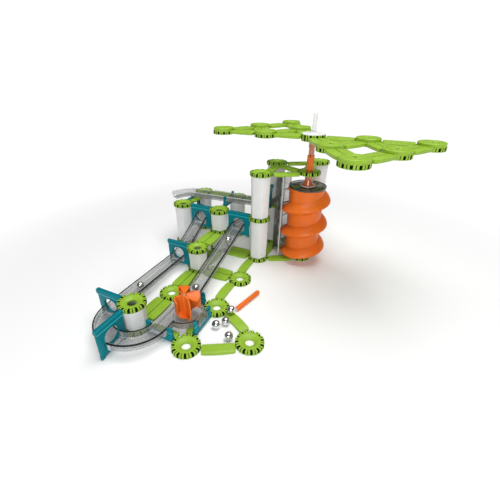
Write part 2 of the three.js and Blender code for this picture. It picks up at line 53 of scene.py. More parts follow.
# The corners of a round-cornered hexagon are cut at this share of its radius.
HEXAGON_CORNER = 0.985
PITCH = 86 * MM
RISE = 42.6 * MM
GAP = 0.3 * MM
RING_R = 20 * MM
RING_BORE = 6.5 * MM
RING_T = 6 * MM
BAR_W = 15.5 * MM
BAR_T = 4.6 * MM
BAR_TAPER = 1.3 * MM
BAR_CORNER = 2.6 * MM
PAIR_EDGE = 0.5 * MM
FLANGE = 6 * MM
COLUMN_TOP = 18.2 * MM
COLUMN_FOOT = 17.2 * MM
COLUMN_TOP_FLATNESS = 0.3
PLATE_W = PITCH - 2 * (RING_R + GAP)
PLATE_T = 2.4 * MM
PLATE_H = RISE + RING_T + 0.8 * MM
HOLE_R = 12 * MM
HOLE_Z = 25.4 * MM
SADDLE_H = 24.4 * MM
SADDLE_FLOOR = 9.4 * MM
RAIL_HALF = 11.8 * MM
RAIL_WALL = 1.8 * MM
RAIL_DEPTH = 11 * MM
RAIL_LIP = 1.2 * MM
BALL_R = 6.35 * MM
TALL = 2 * RISE
TOWER_TOP = 4 * RISE


def centre_of(node):
    low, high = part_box(node)
    return (Vector(low) + Vector(high)) / 2


def low_of(node):
    return Vector(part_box(node)[0])


def high_of(node):
    return Vector(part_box(node)[1])


front_column_axis = centre_of("front_column_ring")


def at(across, along):
    """A place on the floor, counted in pitches from the front corner ring."""
    x = front_column_axis.x + (across + 1) * PITCH
    return Vector((x, front_column_axis.y + along * PITCH, 0))


ROW = math.sqrt(3) / 2
SPOTS = {
    "front_corner": at(0, 0),
    "front_right": at(ROW, 0.5),
    "right_front": at(0, 1),
    "right_middle": at(0, 2),
    "front_column": at(-1, 0),
    "spine_middle": at(-1, 1),
    "left_middle": at(-1, 2),
    "centre": at(-1, 3),
    "rear_inner": at(-1, 4),
    "left_rear": at(-2, 3),
    "rear_corner": at(-2, 4),
    "tower_front": at(0, 3),
    "tower_back": at(0, 4),
    "tower_side": at(ROW, 4.5),
    "shaft": at(ROW, 3.5),
}
REAR_SPOTS = ("left_rear", "rear_corner", "rear_inner")

# ---- Camera ----
# Placed from the front corner ring's middle on the floor.
CAMERA_OFFSET = Vector((186.03, -235.89, 320.65)) * MM
CAMERA_HEADING = math.radians(116.08)
CAMERA_PITCH = math.radians(27.90)
CAMERA_ROLL = math.radians(-0.17)
camera_data = bpy.data.cameras.new("camera")
camera_data.lens = 21.83
camera_data.sensor_width = 36
camera_data.shift_x = 0.0342
camera_data.shift_y = -0.0214
camera = bpy.data.objects.new("camera", camera_data)
bpy.context.scene.collection.objects.link(camera)
bpy.context.scene.camera = camera
camera.location = at(0, 0) + CAMERA_OFFSET
looking = Vector((
    math.cos(CAMERA_HEADING) * math.cos(CAMERA_PITCH),
    math.sin(CAMERA_HEADING) * math.cos(CAMERA_PITCH),
    -math.sin(CAMERA_PITCH),
))
level_view = looking.to_track_quat("-Z", "Y")
camera.rotation_mode = "QUATERNION"
camera.rotation_quaternion = level_view @ Matrix.Rotation(CAMERA_ROLL, 3, "Z").to_quaternion()
bpy.context.scene.view_settings.view_transform = "Standard"


# ---- Materials ----
def principled(name):
    material = bpy.data.materials.new(name)
    material.use_nodes = True
    return material, material.node_tree, material.node_tree.nodes["Principled BSDF"]


def object_noise(tree, scale, detail=3.0):
    coordinates = tree.nodes.new("ShaderNodeTexCoord")
    texture = tree.nodes.new("ShaderNodeTexNoise")
    texture.inputs["Scale"].default_value = scale
    texture.inputs["Detail"].default_value = detail
    tree.links.new(coordinates.outputs["Object"], texture.inputs["Vector"])
    return texture.outputs["Fac"]


def mottle(tree, shader, color, scale, spread):
    """Base colour that wanders a little lighter and darker over the surface."""
    ramp = tree.nodes.new("ShaderNodeValToRGB")
    ramp.color_ramp.elements[0].position = 0.3
    ramp.color_ramp.elements[1].position = 0.7
    ramp.color_ramp.elements[0].color = [c * (1 - spread) for c in color] + [1]
    ramp.color_ramp.elements[1].color = [min(1, c * (1 + spread)) for c in color] + [1]
    tree.links.new(object_noise(tree, scale), ramp.inputs["Fac"])
    tree.links.new(ramp.outputs["Color"], shader.inputs["Base Color"])


def grain(tree, shader, scale, strength):
    bump = tree.nodes.new("ShaderNodeBump")
    bump.inputs["Strength"].default_value = strength
    bump.inputs["Distance"].default_value = 0.2 * MM
    tree.links.new(object_noise(tree, scale, 5.0), bump.inputs["Height"])
    tree.links.new(bump.outputs["Normal"], shader.inputs["Normal"])


def vary_roughness(tree, shader, low, high, scale):
    span = tree.nodes.new("ShaderNodeMapRange")
    span.inputs["To Min"].default_value = low
    span.inputs["To Max"].default_value = high
    tree.links.new(object_noise(tree, scale), span.inputs["Value"])
    tree.links.new(span.outputs["Result"], shader.inputs["Roughness"])


def plastic(name, color, roughness, spread=0.06, specular=0.35):
    material, tree, shader = principled(name)
    mottle(tree, shader, color, 60, spread)
    vary_roughness(tree, shader, roughness - 0.06, roughness + 0.08, 140)
    grain(tree, shader, 900, 0.12)
    shader.inputs["IOR"].default_value = 1.5
    shader.inputs["Specular IOR Level"].default_value = specular
    return material


def clear_plastic(name, color, face_alpha, edge_alpha, roughness=0.06):
    """Clear moulding: nearly open face on, dense and dark where it is seen edge on."""
    material, tree, shader = principled(name)
    mottle(tree, shader, color, 12, 0.08)
    vary_roughness(tree, shader, roughness, roughness + 0.06, 60)
    grain(tree, shader, 150, 0.03)
    facing = tree.nodes.new("ShaderNodeLayerWeight")
    facing.inputs["Blend"].default_value = 0.25
    span = tree.nodes.new("ShaderNodeMapRange")
    span.inputs["To Min"].default_value = face_alpha
    span.inputs["To Max"].default_value = edge_alpha
    tree.links.new(facing.outputs["Facing"], span.inputs["Value"])
    tree.links.new(span.outputs["Result"], shader.inputs["Alpha"])
    shader.inputs["IOR"].default_value = 1.55
    shader.inputs["Specular IOR Level"].default_value = 0.9
    shader.inputs["Coat Weight"].default_value = 0.6
    shader.inputs["Coat Roughness"].default_value = 0.03
    return material


def metal(name, color, roughness):
    material, tree, shader = principled(name)
    mottle(tree, shader, color, 90, 0.04)
    vary_roughness(tree, shader, roughness, roughness + 0.05, 300)
    grain(tree, shader, 1400, 0.03)
    shader.inputs["Metallic"].default_value = 1.0
    return material


LIME = plastic("lime plastic", (0.28, 0.47, 0.03), 0.4)
# Near-black lime on the notch faces: painted shade in the recesses.
LIME_PAINTED_SHADE = plastic("lime plastic, painted shade in the notches", (0.008, 0.022, 0.002), 0.7, 0.2, 0.05)
# Dark lime strip in the gap between paired bars: painted shade.
SEAM_PAINTED_SHADE = plastic("lime plastic, painted shade in the seams", (0.03, 0.09, 0.005), 0.7, 0.1, 0.05)
WHITE = plastic("white plastic", (0.80, 0.80, 0.805), 0.38, 0.02)
TEAL = plastic("teal plastic", (0.0, 0.20, 0.24), 0.36, 0.06, 0.15)
# Light teal strips below the plate flanges and on the saddles: painted highlight lines.
TEAL_PAINTED_HIGHLIGHT = plastic("teal plastic, painted highlight line", (0.02, 0.50, 0.58), 0.35)
ORANGE = plastic("orange plastic", (0.80, 0.155, 0.012), 0.36)
# Dark orange marks on the sleeve's notches: painted shade.
ORANGE_PAINTED_SHADE = plastic("orange plastic, painted shade in the notches", (0.22, 0.03, 0.004), 0.5)
CLEAR = clear_plastic("clear plastic", (0.30, 0.30, 0.305), 0.24, 0.9)
# Near-white clear plastic for glinting edges, collars, strips and small clear parts: painted
# highlight.
CLEAR_PAINTED_HIGHLIGHT = clear_plastic("clear plastic, painted highlight", (0.85, 0.86, 0.87), 0.45, 0.95)
# Near-black lines along the edges of clear parts: painted shade where clear edges look dark.
EDGE_PAINTED_SHADE = plastic("clear plastic edge, painted shade line", (0.008, 0.008, 0.01), 0.5, 0.3, 0.1)
SMOKE = clear_plastic("smoky plastic", (0.045, 0.06, 0.045), 0.40, 0.95)
AMBER = clear_plastic("amber plastic", (0.70, 0.13, 0.012), 0.72, 0.98)
STEEL = metal("bearing steel", (0.70, 0.71, 0.73), 0.05)


# ---- Mesh helpers ----
def mesh_of(vertices, faces):
    mesh = bpy.data.meshes.new("part")
    mesh.from_pydata([tuple(v) for v in vertices], [], faces)
    return mesh


def loft(loops, closed_path=False):
    """Skins closed loops of equal length, one after another, with flat ends on an open path."""
    count = len(loops[0])
    vertices = [point for loop in loops for point in loop]
    faces = []
    spans = len(loops) if closed_path else len(loops) - 1
    for i in range(spans):
        j = (i + 1) % len(loops)
        for k in range(count):
            m = (k + 1) % count
            faces.append((i * count + k, i * count + m, j * count + m, j * count + k))
    if not closed_path:
        faces.append(tuple(reversed(range(count))))
        faces.append(tuple(range((len(loops) - 1) * count, len(loops) * count)))
    return mesh_of(vertices, faces)


def mm(*pairs):
    """Pairs of millimetres in metres."""
    return [(a * MM, b * MM) for a, b in pairs]


def polar(radius, angle, z):
    return Vector((radius * math.cos(angle), radius * math.sin(angle), z))


def around(radius, z, count, flatness=0.0):
    """A level loop, from a circle at flatness 0 to a round-cornered hexagon at 1."""
    loop = []
    for k in range(count):
        angle = 2 * math.pi * k / count
        from_corner = angle % (math.pi / 3) - math.pi / 6
        flat = min(HEXAGON_CORNER, math.cos(math.pi / 6) / math.cos(from_corner))
        loop.append(polar(radius * (1 + flatness * (flat - 1)), angle, z))
    return loop


def turned(profile, count=64, flatness=0.0):
    """A profile of (radius, z) turned about Z, with ends closed."""
    return loft([around(r, z, count, flatness) for r, z in profile])


def tube(profile, count=64):
    """A closed profile of (radius, z) turned about Z, open along the axis."""
    return loft([around(r, z, count) for r, z in profile], closed_path=True)


def rounded(points, radius, steps=4):
    """The outline with its sharp corners rounded."""
    out = []
    total = len(points)
    for i, point in enumerate(points):
        before, after = points[i - 1], points[(i + 1) % total]
        into, out_of = point - before, after - point
        turn = abs(into.angle_signed(out_of)) if into.length and out_of.length else 0
        if turn < SHARP_TURN:
            out.append(point)
            continue
        reach = min(radius * math.tan(turn / 2), into.length / 2, out_of.length / 2)
        a, b = point - into.normalized() * reach, point + out_of.normalized() * reach
        for k in range(steps + 1):
            t = k / steps
            out.append((1 - t) ** 2 * a + 2 * t * (1 - t) * point + t ** 2 * b)
    return out


def block_outline(left, right, low, high, radius):
    """An upright rectangle with rounded corners."""
    corners = ((left, low), (right, low), (right, high), (left, high))
    return rounded([Vector(corner) for corner in corners], radius, 2)


def circle(radius, count, centre=Vector((0, 0))):
    angles = [2 * math.pi * k / count for k in range(count)]
    return [centre + Vector((radius * math.cos(a), radius * math.sin(a))) for a in angles]


def slab(outline, thickness, bevel=0.35 * MM, holes=()):
    """A flat plate with softly bevelled edges, lying on z = 0."""
    data = bpy.data.curves.new("slab", "CURVE")
    data.dimensions = "2D"
    data.fill_mode = "BOTH"
    for loop in (outline, *holes):
        spline = data.splines.new("POLY")
        spline.points.add(len(loop) - 1)
        for point, place in zip(spline.points, loop):
            point.co = (place.x, place.y, 0, 1)
        spline.use_cyclic_u = True
    data.extrude = thickness / 2 - bevel
    data.bevel_depth = bevel
    data.bevel_resolution = 1
    data.offset = -bevel
    holder = bpy.data.objects.new("slab", data)
    bpy.context.scene.collection.objects.link(holder)
    bpy.context.view_layer.update()
    depsgraph = bpy.context.evaluated_depsgraph_get()
    mesh = bpy.data.meshes.new_from_object(holder.evaluated_get(depsgraph))
    bpy.data.objects.remove(holder)
    bpy.data.curves.remove(data)
    mesh.transform(Matrix.Translation((0, 0, thickness / 2)))
    return mesh


def moved(x=0.0, y=0.0, z=0.0, angle=0.0):
    return Matrix.Translation((x, y, z)) @ Matrix.Rotation(angle, 4, "Z")


def along_plate(width, low, high, depth, bevel):
    """A straight moulding that runs the whole width of a plate."""
    outline = block_outline(-depth / 2, depth / 2, low, high, bevel)
    return loft([[Vector((x, p.x, p.y)) for p in outline] for x in (-width / 2, width / 2)])


UPRIGHT = Matrix.Rotation(math.pi / 2, 4, "X")


def moulding(name, parts, materials):
    """One mesh from (mesh, matrix, material index) parts; index None keeps the part's own."""
    builder = bmesh.new()
    for part, matrix, index in parts:
        copy = part.copy()
        copy.transform(matrix)
        first = len(builder.faces)
        builder.from_mesh(copy)
        builder.faces.ensure_lookup_table()
        for face in builder.faces[first:]:
            if index is not None:
                face.material_index = index
    bmesh.ops.remove_doubles(builder, verts=builder.verts, dist=WELD)
    bmesh.ops.recalc_face_normals(builder, faces=builder.faces)
    mesh = bpy.data.meshes.new(name)
    builder.to_mesh(mesh)
    builder.free()
    for material in materials:
        mesh.materials.append(material)
    mesh.polygons.foreach_set("use_smooth", [True] * len(mesh.polygons))
    mesh.set_sharp_from_angle(angle=SHARP)
    return mesh


def show(name, mesh, body, nodes, place=None):
    """Puts a mesh in the scene, riding on body and standing for the given CAD nodes."""
    thing = bpy.data.objects.new(name, mesh)
    thing.matrix_world = place or Matrix()
    bpy.context.scene.collection.objects.link(thing)
    bpy.context.view_layer.update()
    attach(thing, body)
    if nodes:
        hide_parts(*nodes)


def piece(name, parts, materials, body, nodes):
    show(name, moulding(name, parts, materials), body, nodes)


# ---- Rings ----
NOTCHES = 12
POCKET_HALF = math.radians(4.9)
SLOT_HALF = math.radians(1.3)
WALL_SHARE = math.radians(0.25)
POCKET_DEPTH = 3.9 * MM
SLOT_DEPTH = 1.5 * MM
SHAFT_BORE = 8 * MM
# The stretches of the ring's section that line a pocket or slot, counted from its first corner;
# they are coloured with painted shade.
NOTCH_BANDS = (4, 5, 6, 7)


def ring_section(zone, bore, outer, thickness):
    """The ring's section as (radius, z), with the pocket or slot cut into its outer edge."""
    soft = 0.45 * MM
    floor = 1.3 * MM
    side = outer - SLOT_DEPTH if zone == "slot" else outer
    shelf = outer - POCKET_DEPTH if zone == "pocket" else side
    top_edge = shelf if zone != "solid" else outer - soft
    return [
        (bore, 0.6 * MM),
        (bore + 0.6 * MM, 0),
        (outer - soft, 0),
        (outer, soft),
        (side, 0.9 * MM),
        (side, floor),
        (shelf, floor if zone == "pocket" else thickness - soft),
        (top_edge, thickness),
        (outer - 4.6 * MM, thickness),
        (outer - 4.9 * MM, thickness - 0.25 * MM),
        (bore + 5.2 * MM, thickness - 0.25 * MM),
        (bore + 4.4 * MM, thickness - 0.6 * MM),
        (bore + 1.6 * MM, thickness - 1.7 * MM),
        (bore, thickness - 2.8 * MM),
    ]


def notched_ring(bore, outer, thickness):
    """A ring with a pocket at every notch and a thin slot between pockets, their faces in painted
    shade.
    """
    step = 2 * math.pi / NOTCHES
    zones = []
    for k in range(NOTCHES):
        middle = k * step
        slot_middle = middle + step / 2
        zones += [
            (middle - POCKET_HALF - WALL_SHARE, "solid"),
            (middle - POCKET_HALF, "pocket"),
            (middle, "pocket"),
            (middle + POCKET_HALF, "pocket"),
            (middle + POCKET_HALF + WALL_SHARE, "solid"),
            (middle + step / 4 + WALL_SHARE, "solid"),
            (slot_middle - SLOT_HALF - WALL_SHARE, "solid"),
            (slot_middle - SLOT_HALF, "slot"),
            (slot_middle + SLOT_HALF, "slot"),
            (slot_middle + SLOT_HALF + WALL_SHARE, "solid"),
            (slot_middle + step / 4, "solid"),
        ]
    loops = []
    for angle, zone in zones:
        section = ring_section(zone, bore, outer, thickness)
        loops.append([polar(r, angle, z) for r, z in section])
    mesh = loft(loops, closed_path=True)
    for i, polygon in enumerate(mesh.polygons):
        span, band = divmod(i, len(loops[0]))
        here, after = zones[span][1], zones[(span + 1) % len(zones)][1]
        if band in NOTCH_BANDS and (here, after) != ("solid", "solid"):
            polygon.material_index = 1
    return mesh


def ring_mesh(name, bore, outer=RING_R, thickness=RING_T):
    ring = notched_ring(bore, outer, thickness)
    return moulding(name, [(ring, Matrix(), None)], [LIME, LIME_PAINTED_SHADE])


PLAIN_RING = ring_mesh("ring", RING_BORE)
SHAFT_RING = ring_mesh("shaft ring", SHAFT_BORE)


def add_ring(spot, height, node, mesh=PLAIN_RING):
    name = f"ring_{spot}_level_{round(height / RISE)}"
    place = moved(SPOTS[spot].x, SPOTS[spot].y, height)
    show(name, mesh, "frame", [node], place)


# ---- Bars ----
BESIDE_PLATE = FLANGE / 2 + GAP
OUTER_EDGE = PAIR_EDGE + BAR_W
LANES = {
    "left": (PAIR_EDGE, OUTER_EDGE),
    "right": (-OUTER_EDGE, -PAIR_EDGE),
    "left of plate": (BESIDE_PLATE, OUTER_EDGE),
    "right of plate": (-OUTER_EDGE, -BESIDE_PLATE),
}


def bar_outline(length, lane):
    """A bar's outline, straight beside its neighbour and bowed outwards on the far side."""
    start = RING_R + 0.1 * MM
    end = length - start
    steps = 8
    edges = []
    for edge in LANES[lane]:
        taper = math.copysign(BAR_TAPER, edge) if abs(edge) > BAR_W / 2 else 0.0
        run = []
        for k in range(steps + 1):
            t = k / steps
            bow = taper * (4 * t * (1 - t) - 1)
            run.append(Vector((start + (end - start) * t, edge + bow)))
        edges.append(run)
    low, high = edges
    return rounded(low + high[::-1], BAR_CORNER)


def heading(start, end):
    return math.atan2(end.y - start.y, end.x - start.x)


def bar(start, end, height, lane):
    mesh = slab(bar_outline((end - start).length, lane), BAR_T, 0.5 * MM)
    return mesh, moved(start.x, start.y, height, heading(start, end)), 0


def seam(start, end, height):
    """A dark strip of painted shade in the gap between the two bars of a pair."""
    length = (end - start).length - 2 * RING_R - 2 * MM
    strip = along_plate(length, 0.6 * MM, BAR_T - 0.25 * MM, 2 * PAIR_EDGE, 0.1 * MM)
    middle = (start + end) / 2
    return strip, moved(middle.x, middle.y, height, heading(start, end)), 1


def add_bars(name, start, end, height, lanes, body, node):
    parts = [bar(start, end, height, lane) for lane in lanes]
    if lanes == PAIR:
        parts.append(seam(start, end, height))
    piece(name, parts, [LIME, SEAM_PAINTED_SHADE], body, [node])


PAIR = ("left", "right")
TOWER_LINKS = (
    ("tower_front", "tower_back", ("right",)),
    ("tower_back", "tower_side", ("right",)),
    ("tower_front", "shaft", ("right",)),
    ("tower_back", "shaft", ("right",)),
    ("tower_side", "shaft", ("right",)),
)
# Each frame of rings and bars: its height, its rings, and its links with the lanes they fill.
FRAMES = {
    "base_front_triangle": (0, ("front_corner", "front_right", "right_front"), (
        ("front_corner", "front_right", ("right",)),
        ("front_right", "right_front", ("right",)),
        ("front_corner", "right_front", ("left of plate",)),
        ("front_corner", "front_column", ("right of plate",)),
    )),
    "base_link_frame": (0, ("right_middle",), (
        ("right_middle", "right_front", ("right",)),
        ("right_middle", "tower_front", ("left",)),
        ("right_middle", "left_middle", PAIR),
    )),
    "base_spine_frame": (0, ("front_column", "spine_middle", "left_middle", "centre"), (
        ("front_column", "spine_middle", PAIR),
        ("spine_middle", "left_middle", PAIR),
        ("left_middle", "centre", PAIR),
        ("centre", "tower_front", PAIR),
    )),
    "tower_base_frame": (0, ("tower_front", "tower_back", "tower_side", "shaft"), TOWER_LINKS),
    "tower_top_frame": (TOWER_TOP, ("tower_front", "tower_back", "tower_side"), TOWER_LINKS),
    "low_level_frame": (RISE, ("left_middle", "centre"), (
        ("left_middle", "centre", PAIR),
    )),
    "rear_level_frame": (TALL, ("left_rear", "rear_corner", "rear_inner", "tower_back"), (
        ("left_rear", "rear_corner", ("right of plate",)),
        ("rear_corner", "rear_inner", PAIR),
        ("rear_inner", "tower_back", PAIR),
    )),
}
for node, (height, rings, links) in FRAMES.items():
    for spot in rings:
        add_ring(spot, height, node)
    for start, end, lanes in links:
        name = f"bar_{start}_to_{end}_level_{round(height / RISE)}"
        add_bars(name, SPOTS[start], SPOTS[end], height, lanes, "frame", node)
add_ring("shaft", TOWER_TOP, "tower_top_frame", SHAFT_RING)
add_ring("front_column", RISE, "front_column_ring")
add_ring("centre", TALL, "centre_column_ring")
add_ring("tower_front", TALL, "tower_front_ring")
add_ring("tower_side", TALL, "tower_side_ring")
for spot in REAR_SPOTS:
    add_ring(spot, 0, f"{spot}_column")


# ---- Columns ----
def column_mesh(foot, head):
    """A hollow tapered column: a round-cornered hexagon at the foot, rounder at the head."""
    wall = 1.8 * MM
    soft = 1.1 * MM
    steps = 10
    height = head - foot
    rows = [(-wall, 0), (-soft, 0)]
    rows += [(0, soft + (height - 2 * soft) * k / steps) for k in range(steps + 1)]
    rows += [(-0.6 * MM, height), (-wall, height), (-wall, height / 2)]
    loops = []
    for inset, z in rows:
        share = z / height
        radius = COLUMN_FOOT + (COLUMN_TOP - COLUMN_FOOT) * share + inset
        flatness = 1 + (COLUMN_TOP_FLATNESS - 1) * share
        loops.append(around(radius, foot + z, 96, flatness))
    return loft(loops, closed_path=True)


# Each column: the spot it stands on, and the storeys it reaches from and to.
COLUMNS = {
    "front_column": ("front_column", 0, 1),
    "left_middle_column": ("left_middle", 0, 1),
    "centre_lower_column": ("centre", 0, 1),
    "centre_upper_column": ("centre", 1, 2),
}
for spot in REAR_SPOTS:
    COLUMNS[f"{spot}_column"] = (spot, 0, 2)
for spot in ("tower_front", "tower_back", "tower_side"):
    COLUMNS[f"{spot}_lower_column"] = (spot, 0, 2)
    COLUMNS[f"{spot}_upper_column"] = (spot, 2, 4)
for node, (spot, lower, upper) in COLUMNS.items():
    mesh = column_mesh(lower * RISE + RING_T + GAP, upper * RISE - GAP)
    place = moved(SPOTS[spot].x, SPOTS[spot].y)
    piece(f"{node}_shell", [(mesh, place, 0)], [WHITE], "frame", [node])


# ---- Gate plates and saddles ----
IN_PLATE = UPRIGHT @ Matrix.Translation((0, 0, -PLATE_T / 2))


def hole_rim():
    """The raised rim round a plate's hole, on both faces."""
    face = PLATE_T / 2
    steps = mm((0, -0.7), (1.1, -0.7), (1.5, -0.2), (1.5, 0.2), (1.1, 0.7), (0, 0.7))
    profile = [(HOLE_R + out, math.copysign(face, up) + up) for out, up in steps]
    return tube(profile), Matrix.Translation((0, 0, HOLE_Z)) @ UPRIGHT, 0


def lips(rows, floor=0.0, sides=(0,)):
    """Straight mouldings on a plate; a row is width, low, high, depth, bevel (mm), material."""
    parts = []
    for width, low, high, depth, bevel, index in rows:
        lip = along_plate(width * MM, floor + low * MM, floor + high * MM, depth * MM, bevel * MM)
        parts += [(lip, moved(x), index) for x in sides]
    return parts


def gate_plate_parts():
    half = PLATE_W / 2
    foot = 3.2 * MM
    arch = 2.2 * MM
    width = PLATE_W / MM
    outline = rounded([
        Vector((-half, 0)),
        Vector((-half + foot, 0)),
        Vector((-half + foot, arch)),
        Vector((half - foot, arch)),
        Vector((half - foot, 0)),
        Vector((half, 0)),
        Vector((half, PLATE_H)),
        Vector((-half, PLATE_H)),
    ], 0.9 * MM, 2)
    hole = circle(HOLE_R, 64, Vector((0, HOLE_Z)))
    middle_of_foot = half - 0.75 * foot
    parts = [(slab(outline, PLATE_T, 0.3 * MM, [hole]), IN_PLATE, 0), hole_rim()]
    # The row with material 1 is a light strip of painted highlight.
    parts += lips([
        (width, -7, 0, 6, 1.2, 0),
        (width - 1.5, -7.7, -6.4, 6.4, 0.4, 1),
        (width - 3, -9.2, -8.4, 3.2, 0.3, 0),
    ], PLATE_H)
    foot_lip = [(1.5 * foot / MM, 0, 5, 3.8, 0.6, 0)]
    return parts + lips(foot_lip, 0, (-middle_of_foot, middle_of_foot))


def saddle_parts():
    half = PLATE_W / 2
    notch = RAIL_HALF + RAIL_LIP + GAP
    width = PLATE_W / MM
    right = rounded([
        Vector((notch, SADDLE_FLOOR)),
        Vector((notch, SADDLE_H)),
        Vector((half, SADDLE_H)),
        Vector((half, 0)),
    ], 4.5 * MM, 8)
    right[-1] = Vector((half, 0))
    left = [Vector((-p.x, p.y)) for p in reversed(right)]
    ear = (notch + half) / 2
    ear_width = (half - notch) / MM - 1.5
    parts = [(slab(right + left, PLATE_T, 0.3 * MM), IN_PLATE, 0)]
    # The rows with material 1, here and on the ears, are light strips of painted highlight.
    parts += lips([(width, 6, 9, 6, 0.8, 0), (width - 1, 8.7, 9.3, 3.6, 0.3, 1)])
    return parts + lips([(ear_width, 15, 16, 3.6, 0.4, 1)], 0, (ear, -ear))


def stand_plate(node, mesh, turned_across):
    """Puts a plate's mesh where its CAD node stands."""
    middle = centre_of(node)
    angle = math.pi / 2 if turned_across else 0
    place = moved(middle.x, middle.y, low_of(node).z, angle)
    show(f"{node}_moulding", mesh, "frame", [node], place)


GATE = moulding("gate plate", gate_plate_parts(), [TEAL, TEAL_PAINTED_HIGHLIGHT])
SADDLE = moulding("saddle", saddle_parts(), [TEAL, TEAL_PAINTED_HIGHLIGHT])
for node in ("left_front_plate", "left_middle_plate", "left_rear_plate", "right_rear_plate"):
    stand_plate(node, GATE, False)
for node in ("front_plate", "rear_side_plate", "tower_exit_plate"):
    stand_plate(node, GATE, True)
for node in ("junction_left_saddle", "junction_back_saddle"):
    stand_plate(node, SADDLE, False)
for node in ("upper_lane_saddle", "junction_right_saddle"):
    stand_plate(node, SADDLE, True)


# ---- Channels ----
# Sections are (across, up) from the middle of the channel's underside.
def mirrored(*half):
    """The outline made of one half, given in millimetres, and its mirror image."""
    return mm(*half, *[(-x, y) for x, y in reversed(half)])


def on_side(side, *corners):
    """Corners in millimetres for the right side, mirrored when side is -1."""
    return mm(*[(side * x, y) for x, y in corners])


def rim_section(side):
    """The thin line along one upper edge of a channel: painted shade, and painted highlight on the
    upper lane and end bend.
    """
    return on_side(
        side, (11.3, 11.0), (11.3, 11.35), (12.1, 11.75), (12.75, 11.7), (13.25, 11.1),
        (13.2, 10.2), (12.9, 10.2), (12.75, 11.05), (12.1, 11.2),
    )


def floor_highlight_line(side):
    """A painted highlight line in one lower corner of a channel."""
    return on_side(side, (9.4, 2.35), (9.95, 2.9), (9.7, 3.1), (9.15, 2.55))


CHANNEL_SECTION = mirrored(
    (11.2, 0), (11.8, 0.6), (11.8, 9.0), (12.9, 9.4), (13.0, 10.6), (12.6, 11.0), (10.4, 11.0),
    (10.0, 10.6), (10.0, 3.2), (8.9, 2.0), (5.4, 2.0), (5.1, 2.6), (4.3, 2.6), (4.0, 2.0),
)
# A U-shaped collar that hugs the outside of a channel's end.
COLLAR_SECTION = mirrored((12.5, -0.7), (12.5, 8.9), (11.75, 8.9), (11.75, 0.4))
COLLAR_START = 0.4 * MM
COLLAR_END = 5 * MM


def sweep(section, path):
    """Carries an upright section along path, a list of (place, heading angle)."""
    loops = []
    for place, angle in path:
        side = Vector((-math.sin(angle), math.cos(angle), 0))
        loops.append([place + side * x + Vector((0, 0, y)) for x, y in section])
    return loft(loops)


def straight_path(start, end, steps=2):
    angle = heading(start, end)
    return [(start.lerp(end, k / steps), angle) for k in range(steps + 1)]


def bend_path(centre, first, last, z_first, z_last, steps=36):
    """A falling arc half a pitch from centre, between two angles in degrees."""
    ahead = math.copysign(math.pi / 2, last - first)
    path = []
    for k in range(steps + 1):
        t = k / steps
        angle = math.radians(first + (last - first) * t)
        place = centre + polar(PITCH / 2, angle, z_first + (z_last - z_first) * t)
        path.append((place, angle + ahead))
    return path


def channel(node, path, collars=(True, True), rim=EDGE_PAINTED_SHADE):
    """A channel along path, with a collar at its first and last end where collars says so. Its
    floor lines and collars are painted highlight; its rim lines take rim, painted shade or painted
    highlight.
    """
    parts = [(sweep(CHANNEL_SECTION, path), Matrix(), 0)]
    for side in (-1, 1):
        parts.append((sweep(rim_section(side), path), Matrix(), 1))
        parts.append((sweep(floor_highlight_line(side), path), Matrix(), 2))
    length = sum((b[0] - a[0]).length for a, b in zip(path, path[1:]))
    fall = (path[-1][0].z - path[0][0].z) / length
    for wanted, (place, angle), way in zip(collars, (path[0], path[-1]), (1, -1)):
        if wanted:
            forward = polar(way, angle, fall * way)
            collar = straight_path(place + forward * COLLAR_START, place + forward * COLLAR_END, 1)
            parts.append((sweep(COLLAR_SECTION, collar), Matrix(), 3))
    materials = [CLEAR, rim, CLEAR_PAINTED_HIGHLIGHT, CLEAR_PAINTED_HIGHLIGHT]
    piece(f"{node}_moulding", parts, materials, "frame", [node])


def straight_channel(node, along_y, collars=(True, True), rim=EDGE_PAINTED_SHADE):
    """A straight channel from its CAD box; it falls towards -Y, or towards -X."""
    low, high = low_of(node), high_of(node)
    middle = (low + high) / 2
    top = high.z - RAIL_DEPTH
    if along_y:
        path = straight_path(Vector((middle.x, high.y, top)), Vector((middle.x, low.y, low.z)))
    else:
        path = straight_path(Vector((high.x, middle.y, top)), Vector((low.x, middle.y, low.z)))
    channel(node, path, collars, rim)


# The upper lane's rim lines are painted highlight.
straight_channel("upper_lane_rail", False, (False, False), CLEAR_PAINTED_HIGHLIGHT)
straight_channel("left_lane_upper_rail", True)
straight_channel("left_lane_lower_rail", True)
straight_channel("right_lane_rail", True, (True, False))
# The angle by which a bend stops short of the plate that closes its quarter turn.
PLATE_ANGLE = math.degrees(math.asin(1.5 / 30))
# Each bend: the spot it turns round, and the angles it starts and ends at.
BENDS = {
    "end_bend_rail": ("left_rear", 90.6, 150),
    "return_bend_rail": ("left_rear", 90 - PLATE_ANGLE, PLATE_ANGLE),
    "tower_bend_rail": ("tower_front", 90, 180 - PLATE_ANGLE),
    "front_left_bend_rail": ("front_column", 180 + PLATE_ANGLE, 270 - PLATE_ANGLE),
    "front_right_bend_rail": ("front_column", 270 + PLATE_ANGLE, 360),
}
BEND_COLLARS = {"end_bend_rail": (False, False), "tower_bend_rail": (False, True)}
for node, (spot, first, last) in BENDS.items():
    path = bend_path(SPOTS[spot], first, last, high_of(node).z - RAIL_DEPTH, low_of(node).z)
    # The end bend's rim lines are painted highlight, the other bends' painted shade.
    rim = CLEAR_PAINTED_HIGHLIGHT if node == "end_bend_rail" else EDGE_PAINTED_SHADE
    channel(node, path, BEND_COLLARS.get(node, (True, True)), rim)

